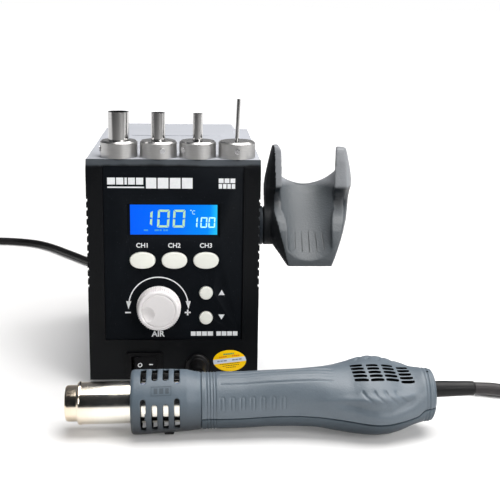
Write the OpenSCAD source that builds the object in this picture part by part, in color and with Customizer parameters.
// Hot air rework station with a fan-driven handpiece, a side cradle and four spare nozzles.
// Millimetres. +Z is up, +X is to the right of the front panel and the front panel faces -Y.
// The origin is on the bench, under the middle of the station's case.

/* [Station case] */
// Width across the front bezel
case_w = 110; // [106:1:116]
// Depth from the bezel's face to the rear edge
case_d = 160; // [156:1:170]
// Height of the cover's side shelves above the bench
case_h = 150; // [150:1:156]
// Height of the rubber feet
foot_h = 4; // [3:0.5:4]
// Thickness of the sheet metal
sheet_t = 1.2; // [0.8:0.1:1.4]
// Height of the cover's raised centre above the shelves
raised_h = 4; // [2:0.5:6]

/* [Controls] */
// Diameter of the airflow knob at its skirt
knob_d = 28.6; // [24:0.2:30]
// Height of the airflow knob
knob_h = 9.4; // [8:0.2:11]
// Length of an oval channel button
oval_l = 16.2; // [14:0.2:17]
// Height of an oval channel button
oval_h = 10.8; // [9:0.2:11]
// Diameter of the up and down buttons
round_d = 8.6; // [7:0.2:9]

/* [Nozzles] */
// Outer diameter of a nozzle's clamping collar
collar_d = 23.5; // [23.2:0.1:24]
// Height of a collar
collar_h = 10.5; // [9:0.5:12]
// Distance between neighbouring nozzles
nozzle_pitch = 25; // [24.6:0.1:26]

/* [Handpiece] */
// Outer radius of the heater tube
tube_r = 12.3; // [12:0.1:12.6]
// Outer radius of the spigot that the nozzles clamp on
spigot_r = 10.6; // [10.4:0.1:10.8]
// Outer radius of the heat guard at its mouth
guard_r = 18.9; // [18.4:0.1:19.2]
// Outer radius of the grip
grip_r = 16.6; // [16.2:0.1:17]
// Roll of the handpiece about its own length as it lies on the bench
lie_roll = 20; // [10:1:30]
// Slope of the handpiece as it lies on the bench
lie_tilt = 0.9; // [0.8:0.1:1.1]

/* [Cradle] */
// Width of the trough between the cradle's cheeks
trough_w = 35; // [34:0.5:36]
// Slope of the trough's floor
trough_slope = 45; // [43:1:47]

/* [Cords] */
// Diameter of the mains cord
mains_d = 7; // [6:0.5:8]
// Diameter of the handpiece cord
hose_d = 7.2; // [6:0.2:8]

/* [Hidden] */
$fn = 64;
eps = 0.01;

// Case
half_w = case_w / 2;
front_y = -case_d / 2;
back_y = case_d / 2;
bevel_d = 3.5;
bevel_h = 6;
bezel_top = case_h;
cover_x = half_w - 0.5;
cover_in = cover_x - sheet_t;
lip_y = front_y + bevel_d;
bezel_back = front_y + 14.4;
plate_y = back_y - 2.6;

// Control panel, set back from the bezel's posts
panel_x = 44.5;
panel_lo = 31.4;
panel_hi = case_h - 4;
panel_y = front_y + 1.2;
panel_t = 2;
panel_back = panel_y + panel_t;
board_y = front_y + 12;
screen_z = case_h - 38.7;
screen_w = 55.6;
screen_h = 19.6;
knob_x = -9.8;
knob_z = 53.8;
oval_z = 85;
oval_x = [-20, 0.3, 20.6];
round_x = 20.8;
round_z = [63.2, 46.3];
press = 1;
cap_out = 1.4;
gland_x = 15.4;
gland_z = 14;
rocker_x = -19.4;
rocker_y = front_y + 3.6;
rocker_z = 15;
rocker_rest = 8;

// Cradle, hung on the right side
cradle_x = 88.5;
pivot_y = front_y + 34;
pivot_z = 101;
pivot_r = 3;
hinge_r = 13;
lip_low = [front_y + 6, 79.5];
trough_y = front_y + 8;
trough_z = 83.5;

// Nozzles, standing in a row on the cover's front edge
nozzle_y = front_y + 14.5;
nozzle_x0 = -34.9;
nozzle_z = case_h;
bore_r = collar_d / 2 - 0.8;
screw_turn = [-84, 14, -52, 0];

// Handpiece, lying on the bench in front of the case
tip = [-61.5, front_y - 73, 18.32];
guard_u = 36.5;
shell_u = 78.5;
bulge_u = 178;
end_u = 219;
exit_w = 5;
relief_u = 240;
shell_t = 2;

// Cords. Each route is a list of centre points, and z is never below the cord's radius.
mains_r = mains_d / 2;
hose_r = hose_d / 2;
floor_mains = mains_r + 0.1;
floor_hose = hose_r + 0.1;
mains_exit = [-25, back_y + 31, 30];
mains_centre = [-237, 264];
mains_out = 45.5;
mains_route = [
    mains_exit, [-25, 124, 29], [-26, 137, 25], [-29, 150, 17], [-34, 163, 9],
    [-42, 177, 4.5], [-52, 190, floor_mains], [-64, 203, floor_mains],
    [-77, 216, floor_mains], [-89, 230, floor_mains], [-101, 246, floor_mains],
    [-114, 263, floor_mains], [-128, 281, floor_mains], [-144, 296, floor_mains],
    [-163, 305, floor_mains], [-184, 309, floor_mains], [-206, 310, floor_mains],
    [-222, 309.8, floor_mains]
];
mains_tail = [
    [-282.5, 249, 10.6], [-282.6, 236, 9], [-282.8, 222, 6.5], [-283, 208, 6.5],
    [-283, 196, 8]
];
plug_at = [-283, 196, 8];
hose_centre = [268, -146];
hose_out = 43.2;
hose_route = [
    [178.7, -154.7, 26.8], [191, -155.2, 26.3], [204, -157.5, 24], [217, -162, 19],
    [230, -169, 12.5], [242, -177, 7], [254, -184.5, 4.4]
];
hose_return = [
    [246, -106, 10.5], [232, -106.2, 6.5], [219, -106, 4], [205, -102, floor_hose],
    [190, -97.5, floor_hose], [174, -95, floor_hose], [156, -94, floor_hose],
    [136, -95, floor_hose], [116, -97, floor_hose], [96, -100, floor_hose],
    [78, -104, floor_hose], [62, -109, floor_hose], [48, -114.5, 4.2],
    [36, -118, 5.2], [27, -118.6, 7], [20, -115.2, 9.4], [16.2, -108, 12],
    [15.4, -98.2, 13.9]
];

// ---------------------------------------------------------------- shared shapes

// A box from its lowest corner to its highest one.
module block(lo, hi) {
    translate(lo) cube(hi - lo);
}

// A shape drawn in X and Z, pushed through from y0 to y1.
module through_y(y0, y1) {
    translate([0, y1, 0]) rotate([90, 0, 0]) linear_extrude(y1 - y0) children();
}

// A shape drawn in Y and Z, pushed through from x0 to x1.
module through_x(x0, x1) {
    translate([x0, 0, 0]) rotate([90, 0, 90]) linear_extrude(x1 - x0) children();
}

// A round bar along Y.
module bar_y(r, y0, y1, x, z) {
    translate([x, y0, z]) rotate([-90, 0, 0]) cylinder(r = r, h = y1 - y0);
}

// A round bar along X.
module bar_x(r, x0, x1, y, z) {
    translate([x0, y, z]) rotate([0, 90, 0]) cylinder(r = r, h = x1 - x0);
}

// An oval, drawn in two dimensions.
module oval(l, h) {
    polygon([for (k = [0:47]) [l / 2 * cos(k * 7.5), h / 2 * sin(k * 7.5)]]);
}

// A rectangle with round corners, drawn in two dimensions about its centre.
module rounded(l, h, r) {
    square([l, h - 2 * r], center = true);
    square([l - 2 * r, h], center = true);
    for (sx = [-1, 1], sz = [-1, 1]) translate([sx * (l / 2 - r), sz * (h / 2 - r)]) circle(r);
}

// A profile drawn as [radius, distance], turned about the handpiece's length.
module turned() {
    rotate([0, 90, 0]) rotate_extrude() children();
}

// Takes the handpiece's own frame to where it lies.
module lying() {
    translate(tip) rotate([lie_roll, -lie_tilt, 0]) children();
}

function unit(v) = v / norm(v);
function heading(p, i) = unit(p[min(i + 1, len(p) - 1)] - p[max(i - 1, 0)]);
function ring(p, i, r, n) =
    let (t = heading(p, i), s = unit(cross(t, [0, 0, 1])), u = cross(s, t))
    [for (k = [0:n - 1]) p[i] + r * (cos(360 * k / n) * s + sin(360 * k / n) * u)];

// A round cord swept along its centre points.
module swept(p, r, n = 10) {
    last = len(p) - 1;
    polyhedron(
        points = [for (i = [0:last]) each ring(p, i, r, n)],
        faces = concat(
            [[for (k = [0:n - 1]) k]],
            [for (i = [0:last - 1], k = [0:n - 1])
                [i * n + k, (i + 1) * n + k, (i + 1) * n + (k + 1) % n, i * n + (k + 1) % n]],
            [[for (k = [n - 1:-1:0]) last * n + k]]
        ),
        convexity = 10
    );
}

// The outer shape of a flat coil of two layers.
module wound(centre, inner, outer, r) {
    translate([centre[0], centre[1], 0]) rotate_extrude()
        translate([inner - r, 0.1]) square([outer - inner + 2 * r, 4 * r]);
}

// ---------------------------------------------------------------- station case

module base_chassis() {
    tray_y = bezel_back + 0.1;
    color("silver") difference() {
        block([-half_w + 2, tray_y, foot_h], [half_w - 2, plate_y - 0.2, 20]);
        block([-half_w + 2 + 1.5, tray_y + 1.5, foot_h + 1.5],
            [half_w - 3.5, plate_y - 1.7, 21]);
        for (y = [-48, 60]) bar_x(1.6, -half_w, half_w, y, 13);
    }
}

// The cover's raised centre, with its sides sloping by its own height.
module plateau(drop) {
    z0 = case_h - 1 - drop;
    z1 = case_h + raised_h - drop;
    intersection() {
        through_y(front_y + 20, back_y)
            polygon([[-46, z0], [46, z0], [42 - drop, z1], [-42 + drop, z1]]);
        through_x(-half_w, half_w)
            polygon([[front_y + 33, z0], [back_y - 2, z0], [back_y - 4 - drop, z1],
                [front_y + 39 + drop, z1]]);
    }
}

module top_cover() {
    color("lightgray") difference() {
        union() {
            block([-cover_x, lip_y + 0.1, 6], [cover_x, back_y - 1.6, case_h]);
            plateau(0);
        }
        block([-cover_in, front_y, 5], [cover_in, back_y, case_h - sheet_t]);
        plateau(sheet_t);
        // two pressed lines across the raised centre
        for (y = [5, 71])
            block([-30.7, y, case_h + raised_h - 0.6], [30.7, y + 1.2, case_h + raised_h + 1]);
        // cooling slots low on both sides
        for (z = [34:8:82]) block([-half_w, 8, z], [half_w, 56, z + 3]);
        for (y = [-48, 60]) bar_x(1.7, -half_w - 1, half_w + 1, y, 13);
        // hole for the cradle's bracket
        bar_x(5.05, cover_in - 1, half_w + 1, pivot_y, pivot_z);
    }
}

module front_bezel() {
    color([0.06, 0.07, 0.08]) difference() {
        union() {
            block([-half_w, front_y, foot_h], [half_w, lip_y, bezel_top]);
            block([-cover_in + 0.1, lip_y - 1, foot_h + 1.6],
                [cover_in - 0.1, bezel_back, case_h - sheet_t - 0.1]);
        }
        // sloping top edge
        through_x(-half_w - 1, half_w + 1)
            polygon([[front_y - 1, bezel_top - bevel_h * (1 + 1 / bevel_d)],
                [lip_y, bezel_top], [lip_y, bezel_top + 1], [front_y - 1, bezel_top + 1]]);
        // seat and opening for the control panel
        block([-panel_x, front_y - 1, panel_lo], [panel_x, panel_back, panel_hi]);
        block([-panel_x + 2.2, front_y, panel_lo + 2.2],
            [panel_x - 2.2, front_y + 6, panel_hi - 2.2]);
        // hollow behind
        block([-half_w + 4.2, front_y + 5, foot_h + 4], [half_w - 4.2, bezel_back + 1, case_h - 3.6]);
        // switch opening and gland hole
        block([rocker_x - 9.6, front_y - 1, rocker_z - 6.6], [rocker_x + 9.6, front_y + 6, rocker_z + 6.6]);
        bar_y(6.2, front_y - 1, front_y + 6, gland_x, gland_z);
        // ribbed edges
        for (side = [-1, 1], k = [0:10])
            translate([side * half_w, front_y + 7, 124 - 5.6 * k])
                cube([1.6, 20, 2.2], center = true);
    }
}

module control_panel() {
    color([0.07, 0.08, 0.09]) difference() {
        block([-panel_x + 0.2, panel_y, panel_lo + 0.2], [panel_x - 0.2, panel_back, panel_hi - 0.2]);
        // display window with a sloping lower and side lip
        block([-screen_w / 2, panel_y - 1, screen_z - screen_h / 2],
            [screen_w / 2, panel_back + 1, screen_z + screen_h / 2]);
        intersection() {
            through_y(panel_y - 1, panel_back - 0.6)
                translate([0, screen_z - 1]) square([screen_w + 3.6, screen_h + 3], center = true);
            through_x(-half_w, half_w)
                polygon([[panel_y - eps, screen_z - screen_h / 2 - 2.4], [panel_y - eps, screen_z + 11],
                    [panel_back - 0.6, screen_z + 9.8], [panel_back - 0.6, screen_z - screen_h / 2]]);
        }
        for (x = oval_x) through_y(panel_y - 1, panel_back + 1)
            translate([x, oval_z]) oval(oval_l + 0.8, oval_h + 0.8);
        for (z = round_z) bar_y(round_d / 2 + 0.4, panel_y - 1, panel_back + 1, round_x, z);
        bar_y(3.8, panel_y - 1, panel_back + 1, knob_x, knob_z);
    }
}

module display_lens() {
    color([0.5, 0.7, 1, 0.6]) block([-screen_w / 2 + 0.1, panel_back - 0.5, screen_z - screen_h / 2 + 0.1],
        [screen_w / 2 - 0.1, panel_back, screen_z + screen_h / 2 - 0.1]);
}

module lcd_module() {
    color([0.05, 0.35, 0.95]) block([-31, panel_back + 0.1, screen_z - 13], [31, panel_back + 5.6, screen_z + 13]);
}

module control_board() {
    color("green") difference() {
        block([-41, board_y, 35], [41, board_y + 1.6, 140]);
        for (x = [-37, 37], z = [39, 136]) bar_y(1.6, board_y - 1, board_y + 3, x, z);
    }
}

module tact_switches() {
    color("dimgray") {
        for (x = oval_x) tact_switch(x, oval_z);
        for (z = round_z) tact_switch(round_x, z);
    }
}

module tact_switch(x, z) {
    block([x - 3, board_y - 3.4, z - 3], [x + 3, board_y, z + 3]);
    bar_y(1.7, board_y - 4.1, board_y - 3.4, x, z);
}

module airflow_potentiometer() {
    color("steelblue") difference() {
        union() {
            block([knob_x - 6, board_y - 6.6, knob_z - 6.5], [knob_x + 6, board_y, knob_z + 5.5]);
            bar_y(3.5, front_y + 0.2, board_y - 6.6, knob_x, knob_z);
        }
        bar_y(3.05, front_y - 1, board_y - 1.5, knob_x, knob_z);
    }
}

module potentiometer_shaft() {
    color("silver") bar_y(3, front_y - 7, board_y - 1.8, knob_x, knob_z);
}

module airflow_knob() {
    knob_r = knob_d / 2;
    base_y = panel_y - 0.6;
    color("gainsboro") difference() {
        translate([knob_x, base_y, knob_z]) rotate([90, 0, 0]) rotate_extrude($fn = 96)
            difference() {
                polygon([[0, 0], [knob_r, 0], [knob_r, 1.2], [knob_r - 0.5, knob_h - 1.6],
                    [knob_r - 1.2, knob_h - 0.4], [knob_r - 1.9, knob_h], [0, knob_h]]);
                translate([5, -1]) square([knob_r - 7, knob_h - 2]);
                translate([10.6, knob_h - 0.3]) square([0.4, 1]);
            }
        // hub bore
        bar_y(3, front_y - 7, base_y + 1, knob_x, knob_z);
        bar_y(3.9, front_y - 1.2, base_y + 1, knob_x, knob_z);
        // finger dimple
        translate([knob_x - 7.3, base_y - knob_h - 7, knob_z - 2.2]) sphere(8.5);
    }
}

module oval_button(x) {
    color("ivory") {
        through_y(panel_y - cap_out, panel_back + 0.2) translate([x, oval_z]) oval(oval_l, oval_h);
        through_y(panel_back + 0.2, panel_back + 1.4) translate([x, oval_z]) oval(oval_l + 2.6, oval_h + 2.6);
        bar_y(1.6, panel_back + 1.4, board_y - 4.1 - press - 0.3, x, oval_z);
    }
}

module channel_button_1() { oval_button(oval_x[0]); }
module channel_button_2() { oval_button(oval_x[1]); }
module channel_button_3() { oval_button(oval_x[2]); }

module round_button(z) {
    color("ivory") {
        bar_y(round_d / 2, panel_y - cap_out, panel_back + 0.2, round_x, z);
        bar_y(round_d / 2 + 1.3, panel_back + 0.2, panel_back + 1.4, round_x, z);
        bar_y(1.6, panel_back + 1.4, board_y - 4.1 - press - 0.3, round_x, z);
    }
}

module up_button() { round_button(round_z[0]); }
module down_button() { round_button(round_z[1]); }

module power_switch_housing() {
    color([0.05, 0.05, 0.06]) difference() {
        union() {
            through_y(front_y - 1.6, front_y) translate([rocker_x, rocker_z]) rounded(23.6, 16.4, 1.5);
            block([rocker_x - 9.4, front_y - 0.5, rocker_z - 6.4], [rocker_x + 9.4, front_y + 11.2, rocker_z + 6.4]);
        }
        block([rocker_x - 8.4, front_y - 2, rocker_z - 5.6], [rocker_x + 8.4, front_y + 9.5, rocker_z + 5.6]);
        translate([rocker_x, rocker_y, rocker_z - 7]) cylinder(r = 1.25, h = 14);
    }
    color("silver") for (x = [-5, 5]) block([rocker_x + x - 0.4, front_y + 11.2, rocker_z - 2.4],
        [rocker_x + x + 0.4, front_y + 13.6, rocker_z + 2.4]);
}

module power_rocker() {
    color([0.04, 0.04, 0.05]) translate([rocker_x, rocker_y, rocker_z]) rotate([0, 0, rocker_rest]) {
        translate([0, 0, -5.3]) linear_extrude(10.6)
            polygon([[-7.2, -6.2], [0, -4.9], [7.2, -6.2], [6.6, 0.5], [1.6, 3.4], [-1.6, 3.4], [-6.6, 0.5]]);
        translate([0, 0, -6.2]) cylinder(r = 1.2, h = 12.4);
    }
}

module cable_gland() {
    color([0.05, 0.05, 0.06]) translate([gland_x, 0, gland_z]) difference() {
        translate([0, front_y + 5, 0]) rotate([90, 0, 0]) rotate_extrude()
            polygon([[0, 0], [6, 0], [6, 5.1], [8, 5.1], [8, 7.2], [7.4, 8], [5.6, 8.4], [4.9, 23], [0, 23]]);
        translate([0, front_y + 6, 0]) rotate([90, 0, 0]) cylinder(r = hose_r - 0.2, h = 20);
    }
}

module oval_label() {
    color("gold") through_y(front_y - 0.3, front_y) translate([36.5, 16.9]) oval(21.8, 14.8);
}

module rear_panel() {
    color("silver") difference() {
        block([-cover_in + 0.2, plate_y, foot_h + 1.6], [cover_in - 0.2, plate_y + 1.2, case_h - sheet_t - 0.2]);
        bar_y(6.2, plate_y - 1, plate_y + 3, mains_exit[0], mains_exit[2]);
        for (k = [0:6]) block([-32, plate_y - 1, 70 + 9 * k], [32, plate_y + 3, 73 + 9 * k]);
    }
}

module mains_strain_relief() {
    color([0.05, 0.05, 0.06]) translate([mains_exit[0], 0, mains_exit[2]]) difference() {
        translate([0, plate_y - 4, 0]) rotate([-90, 0, 0]) rotate_extrude()
            polygon([[0, 0], [8, 0], [8, 3.9], [6, 3.9], [6, 5.3], [8, 5.3], [7.2, 8], [5.6, 9.5],
                [mains_r + 0.8, mains_exit[1] - plate_y + 4], [0, mains_exit[1] - plate_y + 4]]);
        translate([0, plate_y - 5, 0]) rotate([-90, 0, 0]) cylinder(r = mains_r - 0.6, h = 20);
    }
}

module rubber_feet() {
    color([0.1, 0.1, 0.1]) for (x = [-42, 42], y = [-56, 66]) translate([x, y, 0]) cylinder(r = 7, h = foot_h);
}

module case_screws() {
    color("silver") for (side = [-1, 1], y = [-48, 60])
        translate([0, y, 13]) rotate([0, 90 * side, 0]) {
            translate([0, 0, cover_in - 5.2]) cylinder(r = 1.5, h = 7);
            translate([0, 0, cover_x]) cylinder(r = 3, h = 1.8);
        }
}

// ---------------------------------------------------------------- inside the case

module main_board() {
    color("green") difference() {
        block([-46, -54, 12], [46, -4, 13.6]);
        for (x = [-42, 42], y = [-50, -8]) translate([x, y, 11]) cylinder(r = 1.7, h = 4);
    }
}

module board_standoffs() {
    color("goldenrod") for (x = [-42, 42], y = [-50, -8]) translate([x, y, 0]) {
        translate([0, 0, foot_h + 1.5]) cylinder(r = 3, h = 12 - foot_h - 1.5);
        translate([0, 0, 11]) cylinder(r = 1.5, h = 4);
    }
}

module triac_heatsink() {
    color("silver") {
        block([8, -20, 13.6], [40, -17, 40]);
        for (k = [0:5]) block([8 + 6 * k, -17 - eps, 13.6], [10 + 6 * k, -9, 40]);
    }
}

module transformer_core() {
    color("slategray") difference() {
        block([-31, 18, foot_h + 1.5], [31, 52, 58]);
        for (side = [-1, 1]) translate([side * 15.5, 35, 32]) cube([11, 40, 32], center = true);
    }
}

module transformer_winding() {
    color("peru") difference() {
        block([-20.6, 7, 16.4], [20.6, 63, 47.6]);
        block([-10.2, 17.8, 15], [10.2, 52.2, 49]);
    }
}

module terminal_block() {
    color("seagreen") difference() {
        block([-40, -51, 13.6], [-10, -41, 24]);
        for (k = [0:4]) translate([-37 + 6 * k, -46, 18]) cylinder(r = 1.8, h = 8);
    }
}

module fuse_holder() {
    color("dimgray") {
        block([-38, -22, 13.6], [-12, -12, 16]);
        for (x = [-36, -18]) block([x, -20.5, 16 - eps], [x + 4, -13.5, 22]);
    }
}

// ---------------------------------------------------------------- cradle

module cradle_bracket() {
    color([0.16, 0.2, 0.24]) difference() {
        union() {
            bar_x(hinge_r, cover_x, half_w + 3.6, pivot_y, pivot_z);
            bar_x(5, cover_in - 4, half_w, pivot_y, pivot_z);
        }
        bar_x(pivot_r + 0.01, cover_in - 5, half_w + 5, pivot_y, pivot_z);
    }
}

module pivot_screw() {
    color("silver") {
        bar_x(pivot_r, cover_in - 6, half_w + 20, pivot_y, pivot_z);
        bar_x(5, cover_in - 8, cover_in - 4.1, pivot_y, pivot_z);
    }
}

// The cradle seen from the front.
module cradle_front() {
    polygon([[-15.6, 79], [15.6, 79], [20, 86], [24, 96], [26.8, 112], [27.8, 127], [27, 142],
        [25, 152], [23, 155.2], [18, 155.2], [-18, 155.2], [-23, 155.2], [-25, 152], [-27, 142],
        [-27.8, 127], [-26.8, 112], [-24, 96], [-20, 86]]);
}

// The cradle seen from its side, measured from the bezel's face.
module cradle_side() {
    polygon([[6, 79.5], [5, 84], [6, 96], [10, 104], [17, 109], [26, 113], [33, 117], [37.5, 121],
        [37, 125.5], [30, 127.6], [28.8, 132], [30, 146], [32, 152.5], [35, 155.2], [42, 155.2],
        [48, 145], [53, 134], [57, 127], [56, 121], [50, 107], [42, 93], [30, 84], [14, 79]]);
}

module cradle() {
    color([0.5, 0.53, 0.56]) difference() {
        union() {
            intersection() {
                through_y(front_y, front_y + 60) translate([cradle_x, 0]) cradle_front();
                through_x(cradle_x - 30, cradle_x + 30) translate([front_y, 0]) cradle_side();
            }
            bar_x(hinge_r, half_w + 3.9, cradle_x - 22, pivot_y, pivot_z);
        }
        // trough
        translate([cradle_x, trough_y, trough_z]) rotate([trough_slope, 0, 0]) {
            translate([-trough_w / 2, -40, 6]) cube([trough_w, 140, 90]);
            intersection() {
                translate([0, -40, 28]) rotate([-90, 0, 0]) cylinder(r = 28, h = 140, $fn = 96);
                translate([-trough_w / 2, -41, -1]) cube([trough_w, 142, 12]);
            }
        }
        bar_x(pivot_r + 0.05, half_w, half_w + 21, pivot_y, pivot_z);
        // drainage grooves in the floor near the lip
        for (k = [-2:2]) translate([cradle_x + 4.6 * k, trough_y, trough_z]) rotate([trough_slope, 0, 0])
            translate([-0.4, 4, -1]) cube([0.8, 18, 6]);
        translate([cradle_x, front_y + 38, 80]) cylinder(r = 4.05, h = 13);
    }
}

module cradle_magnet() {
    color("silver") translate([cradle_x, front_y + 38, 89.9]) cylinder(r = 4, h = 3);
}

// ---------------------------------------------------------------- nozzles

module nozzle(i, r, top) {
    lean = i == 3 ? 2 : 0;
    color("silver") translate([nozzle_x0 + i * nozzle_pitch, nozzle_y, nozzle_z]) difference() {
        union() {
            rotate_extrude() polygon([[0, 0], [collar_d / 2, 0], [collar_d / 2, collar_h - 1.1],
                [collar_d / 2 - 1.1, collar_h], [0, collar_h]]);
            translate([0, 0, collar_h - 1]) rotate([0, lean, 0]) cylinder(r = r, h = top - collar_h + 1);
        }
        translate([0, 0, -1]) cylinder(r = bore_r, h = collar_h);
        translate([0, 0, collar_h - 3]) rotate([0, lean, 0]) cylinder(r = r - min(0.5, r * 0.35), h = top);
        rotate([0, 0, screw_turn[i]]) bar_y(1.5, -collar_d, -5, 0, collar_h / 2);
    }
}

module nozzle_screw(i) {
    color("silver") translate([nozzle_x0 + i * nozzle_pitch, nozzle_y, nozzle_z])
        rotate([0, 0, screw_turn[i]]) {
            bar_y(1.5, -collar_d / 2, 2.2 - bore_r, 0, collar_h / 2);
            bar_y(1.9, -collar_d / 2 - 0.6, -collar_d / 2, 0, collar_h / 2);
        }
}

module nozzle_12mm() { nozzle(0, 6.6, 28.4); }
module nozzle_8mm() { nozzle(1, 4.5, 28); }
module nozzle_6mm() { nozzle(2, 3.2, 27.7); }
module nozzle_needle() { nozzle(3, 1.3, 37); }
module nozzle_screw_12mm() { nozzle_screw(0); }
module nozzle_screw_8mm() { nozzle_screw(1); }
module nozzle_screw_6mm() { nozzle_screw(2); }
module nozzle_screw_needle() { nozzle_screw(3); }

// ---------------------------------------------------------------- handpiece

module heater_tube() {
    color([0.85, 0.82, 0.75]) lying() turned() polygon([
        [spigot_r - 1.6, 0], [spigot_r - 0.5, 0.3], [spigot_r, 1.5], [spigot_r, 7], [tube_r - 0.2, 7.2],
        [tube_r + 0.5, 8.3], [tube_r, 9.6], [tube_r, 92], [tube_r - 0.9, 92], [tube_r - 0.9, 9],
        [spigot_r - 0.9, 7.6], [spigot_r - 0.9, 1.5], [spigot_r - 1.6, 0.8]
    ]);
}

module heat_guard() {
    color([0.36, 0.42, 0.47]) lying() difference() {
        turned() polygon([
            [guard_r - 2.2, guard_u], [guard_r - 0.7, guard_u], [guard_r, guard_u + 1.6],
            [guard_r - 0.6, guard_u + 27], [guard_r - 1.1, guard_u + 34], [16.9, shell_u - 0.2],
            [tube_r + 0.2, shell_u - 0.2], [tube_r + 0.2, shell_u - 4], [15.2, shell_u - 7],
            [16.4, guard_u + 6], [guard_r - 2.2, guard_u + 2]
        ]);
        // four rows of slots round the guard
        for (turn = [-16:90:254], k = [0:3])
            rotate([turn, 0, 0]) translate([guard_u + 7.8 + 6.3 * k, 0, 15])
                cube([2.7, 15, 10], center = true);
    }
}

// The handle's outer shape, or with inset its hollow.
module handle_form(inset) {
    turned() polygon([
        [0, shell_u + inset], [16.9 - inset, shell_u + inset], [16.9 - inset, 87], [grip_r - inset, 88],
        [grip_r - inset, 116], [16.9 - inset, 130], [17.6 - inset, 146], [17.6 - inset, 196],
        [16.4 - inset, 206], [15.9 - inset, 211], [14 - inset, end_u - 3.4 - inset / 2],
        [10 - inset / 2, end_u - inset], [0, end_u - inset]
    ]);
    translate([bulge_u, 0, 0]) rotate_extrude($fn = 96) polygon([
        [0, inset - 18], [12 - inset / 2, inset - 18], [18 - inset * 0.8, inset * 0.7 - 14.5],
        [22 - inset, inset * 0.3 - 8.5], [24 - inset, 0], [22 - inset, 8.5 - inset * 0.3],
        [18 - inset * 0.8, 14.5 - inset * 0.7], [12 - inset / 2, 18 - inset], [0, 18 - inset]
    ]);
}

// One half of the handle: side 1 is the upper half, and -1 the lower one.
module handle_half(side) {
    difference() {
        intersection() {
            union() {
                difference() {
                    handle_form(0);
                    handle_form(shell_t);
                }
                // screw pillars
                intersection() {
                    handle_form(shell_t / 2);
                    for (u = [102, 140, 207]) translate([u, 0, -20]) cylinder(r = 3.4, h = 40);
                }
            }
            translate([0, -40, side > 0 ? 0 : -40]) cube([300, 80, 40]);
        }
        // way in for the heater tube and way out for the cord
        translate([shell_u - 1, 0, 0]) rotate([0, 90, 0]) cylinder(r = tube_r + 0.2, h = 5);
        translate([end_u - 6, 0, exit_w]) rotate([0, 90, 0]) cylinder(r = 4.9, h = 10);
        for (u = [102, 140, 207]) translate([u, 0, -12]) cylinder(r = 1.3, h = 24);
        if (side < 0) for (u = [102, 140, 207]) translate([u, 0, -25]) cylinder(r = 2.9, h = 15);
        // grip rings
        for (k = [0:3]) turned() translate([16.5, 81.6 + 1.7 * k]) square([2, 0.7]);
    }
}

module upper_shell() {
    color([0.42, 0.48, 0.53]) lying() difference() {
        handle_half(1);
        // air intake slots
        for (row = [-2:2], column = [-1.5:1.5])
            translate([183.5 + 9.2 * column, 3.2 * row + 1, 15]) cube([7, 1.7, 20], center = true);
    }
}

module lower_shell() {
    color([0.4, 0.46, 0.51]) lying() handle_half(-1);
}

module heater_core() {
    color("linen") lying() translate([16, 0, 0]) rotate([0, 90, 0]) difference() {
        cylinder(r = 6, h = 70);
        for (k = [0:3]) rotate([0, 0, 90 * k]) translate([3.4, 0, -1]) cylinder(r = 1, h = 72);
    }
}

module heater_coil() {
    color("sienna") lying() for (k = [0:12]) turned() translate([7.1, 20 + 5 * k]) circle(0.9, $fn = 24);
}

module fan_housing() {
    color([0.1, 0.1, 0.1]) lying() translate([bulge_u, 0, 0]) difference() {
        union() {
            difference() {
                translate([0, 0, -9]) cylinder(r = 18.5, h = 18);
                translate([0, 0, -7.5]) cylinder(r = 17, h = 20);
                translate([-22, 0, 0]) cube([20, 20, 12], center = true);
            }
            translate([0, 0, -8]) cylinder(r = 1.5, h = 13);
        }
    }
}

module fan_impeller() {
    color([0.15, 0.15, 0.15]) lying() translate([bulge_u, 0, 0]) difference() {
        union() {
            translate([0, 0, -6.5]) cylinder(r = 5, h = 11.5);
            translate([0, 0, -6.5]) cylinder(r = 15.5, h = 1);
            for (k = [0:11]) rotate([0, 0, 30 * k]) translate([8.5, -0.4, -6]) cube([7, 0.8, 11]);
        }
        translate([0, 0, -8]) cylinder(r = 1.55, h = 14);
    }
}

module shell_screws() {
    color("silver") lying() for (u = [102, 140, 207]) translate([u, 0, 0]) {
        translate([0, 0, -10]) cylinder(r = 1.3, h = 18);
        translate([0, 0, -12]) cylinder(r = 2.6, h = 2);
    }
}

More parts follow.
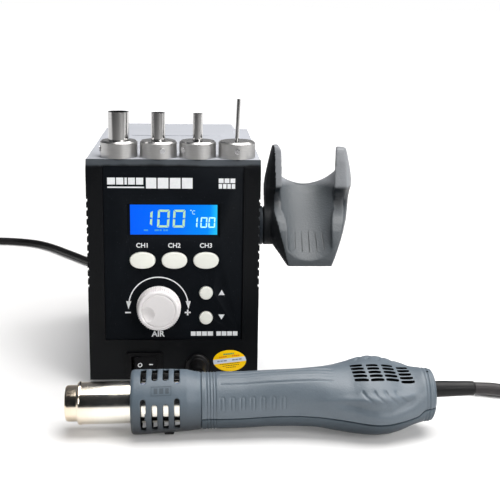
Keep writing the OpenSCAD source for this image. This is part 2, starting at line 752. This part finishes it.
module handpiece_strain_relief() {
    color([0.06, 0.06, 0.07]) lying() translate([0, 0, exit_w]) difference() {
        turned() polygon([
            [0, end_u - 6], [6, end_u - 6], [6, end_u - 4.6], [4.8, end_u - 4.6], [4.8, end_u + 2],
            [hose_r + 0.6, relief_u], [0, relief_u]
        ]);
        translate([end_u - 7, 0, 0]) rotate([0, 90, 0]) cylinder(r = hose_r - 0.4, h = 9);
    }
}

// ---------------------------------------------------------------- cords

module handpiece_cord_lead() {
    color([0.1, 0.1, 0.1]) swept(hose_route, hose_r);
}

module handpiece_cord_coil() {
    color([0.1, 0.1, 0.1]) wound(hose_centre, hose_out - hose_d, hose_out, hose_r);
}

module handpiece_cord_return() {
    color([0.1, 0.1, 0.1]) swept(hose_return, hose_r);
}

module mains_cord_lead() {
    color([0.1, 0.1, 0.1]) swept(mains_route, mains_r);
}

module mains_cord_coil() {
    color([0.1, 0.1, 0.1]) wound(mains_centre, mains_out - 2 * mains_d, mains_out, mains_r);
}

module mains_cord_tail() {
    color([0.1, 0.1, 0.1]) swept(mains_tail, mains_r);
}

module mains_plug() {
    color([0.1, 0.1, 0.1]) translate(plug_at) {
        rotate([90, 0, 0]) cylinder(r = 5.5, h = 12);
        translate([-15, -34, -7.9]) cube([30, 24, 18]);
        for (x = [-7, 7]) translate([x - 3, -50, -0.8]) cube([6, 17, 1.6]);
    }
}

// ---------------------------------------------------------------- what is drawn

base_chassis();
top_cover();
front_bezel();
control_panel();
display_lens();
lcd_module();
control_board();
tact_switches();
airflow_potentiometer();
potentiometer_shaft();
airflow_knob();
channel_button_1();
channel_button_2();
channel_button_3();
up_button();
down_button();
power_switch_housing();
power_rocker();
cable_gland();
oval_label();
main_board();
board_standoffs();
triac_heatsink();
transformer_core();
transformer_winding();
terminal_block();
fuse_holder();
rear_panel();
mains_strain_relief();
rubber_feet();
case_screws();
cradle_bracket();
pivot_screw();
cradle();
cradle_magnet();
nozzle_12mm();
nozzle_8mm();
nozzle_6mm();
nozzle_needle();
nozzle_screw_12mm();
nozzle_screw_8mm();
nozzle_screw_6mm();
nozzle_screw_needle();
heater_tube();
heat_guard();
upper_shell();
lower_shell();
heater_core();
heater_coil();
fan_housing();
fan_impeller();
shell_screws();
handpiece_strain_relief();
handpiece_cord_lead();
handpiece_cord_coil();
handpiece_cord_return();
mains_cord_lead();
mains_cord_coil();
mains_cord_tail();
mains_plug();
